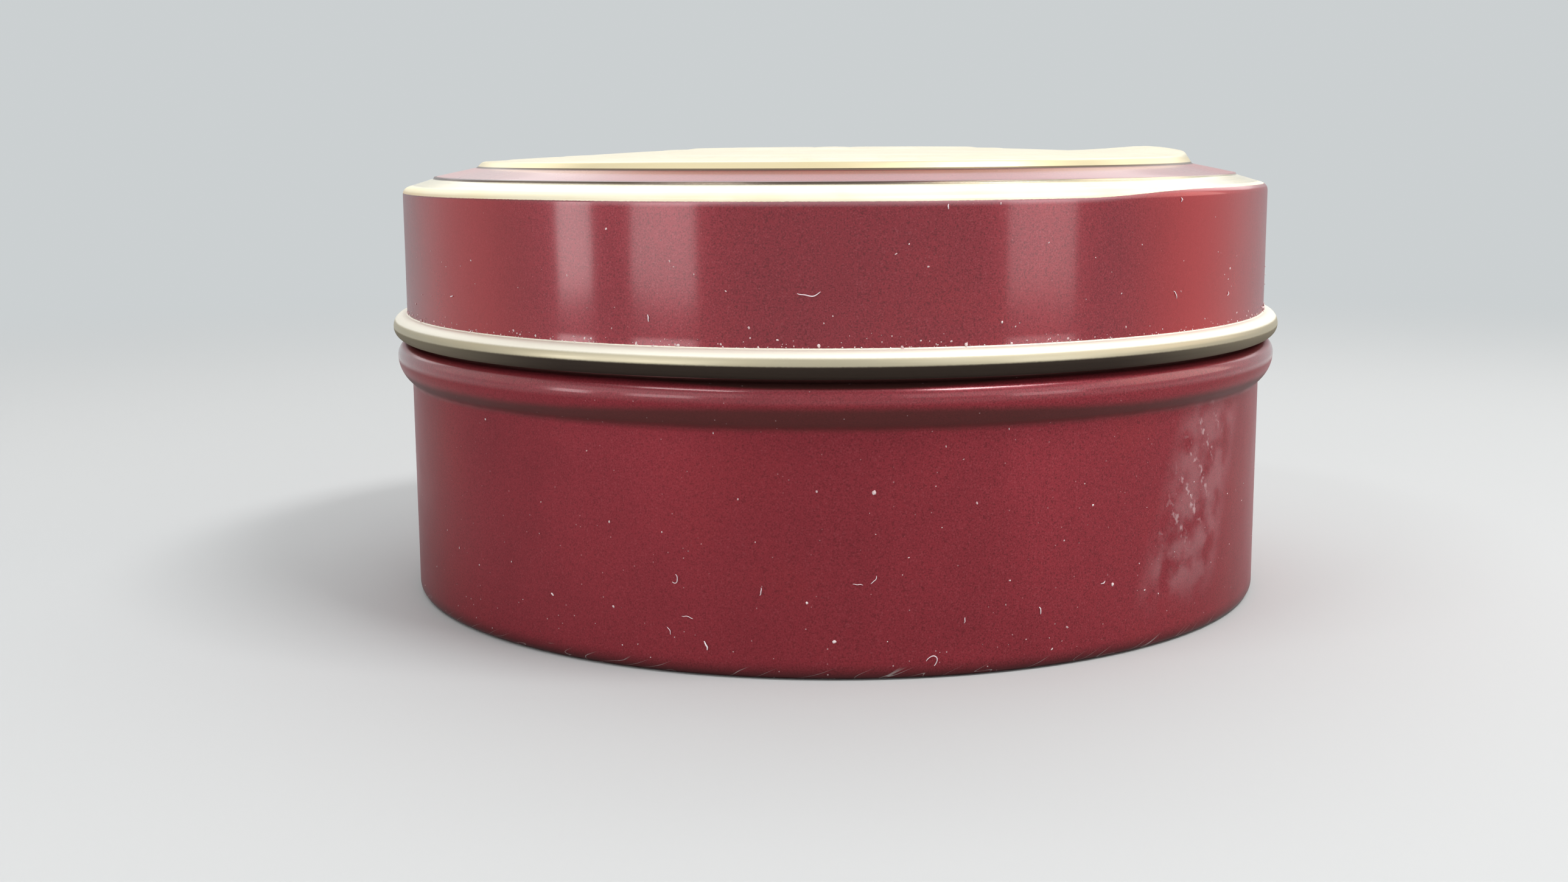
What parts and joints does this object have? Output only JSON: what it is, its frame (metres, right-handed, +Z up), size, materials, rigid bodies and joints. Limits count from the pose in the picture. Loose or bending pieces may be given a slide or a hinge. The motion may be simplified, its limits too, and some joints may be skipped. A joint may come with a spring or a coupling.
{
  "type": "sweet tin",
  "caption": "Shut round sweet tin with a slip lid, a rolled hem, a bead under it and a low terraced top; a flat foot to stand on.",
  "frame": {"origin": "middle of the foot, on the surface that the tin stands on", "axes": "+Z up along the tin's axis; the tin is round about +Z"},
  "size_m": [0.1032, 0.1032, 0.0505],
  "materials": {
    "base": "glossy maroon lacquer on tinplate",
    "lid": "glossy maroon lacquer with pale gold print on tinplate"
  },
  "bodies": {
    "root": {"base": "base", "lid": "lid"}
  },
  "joints": []
}
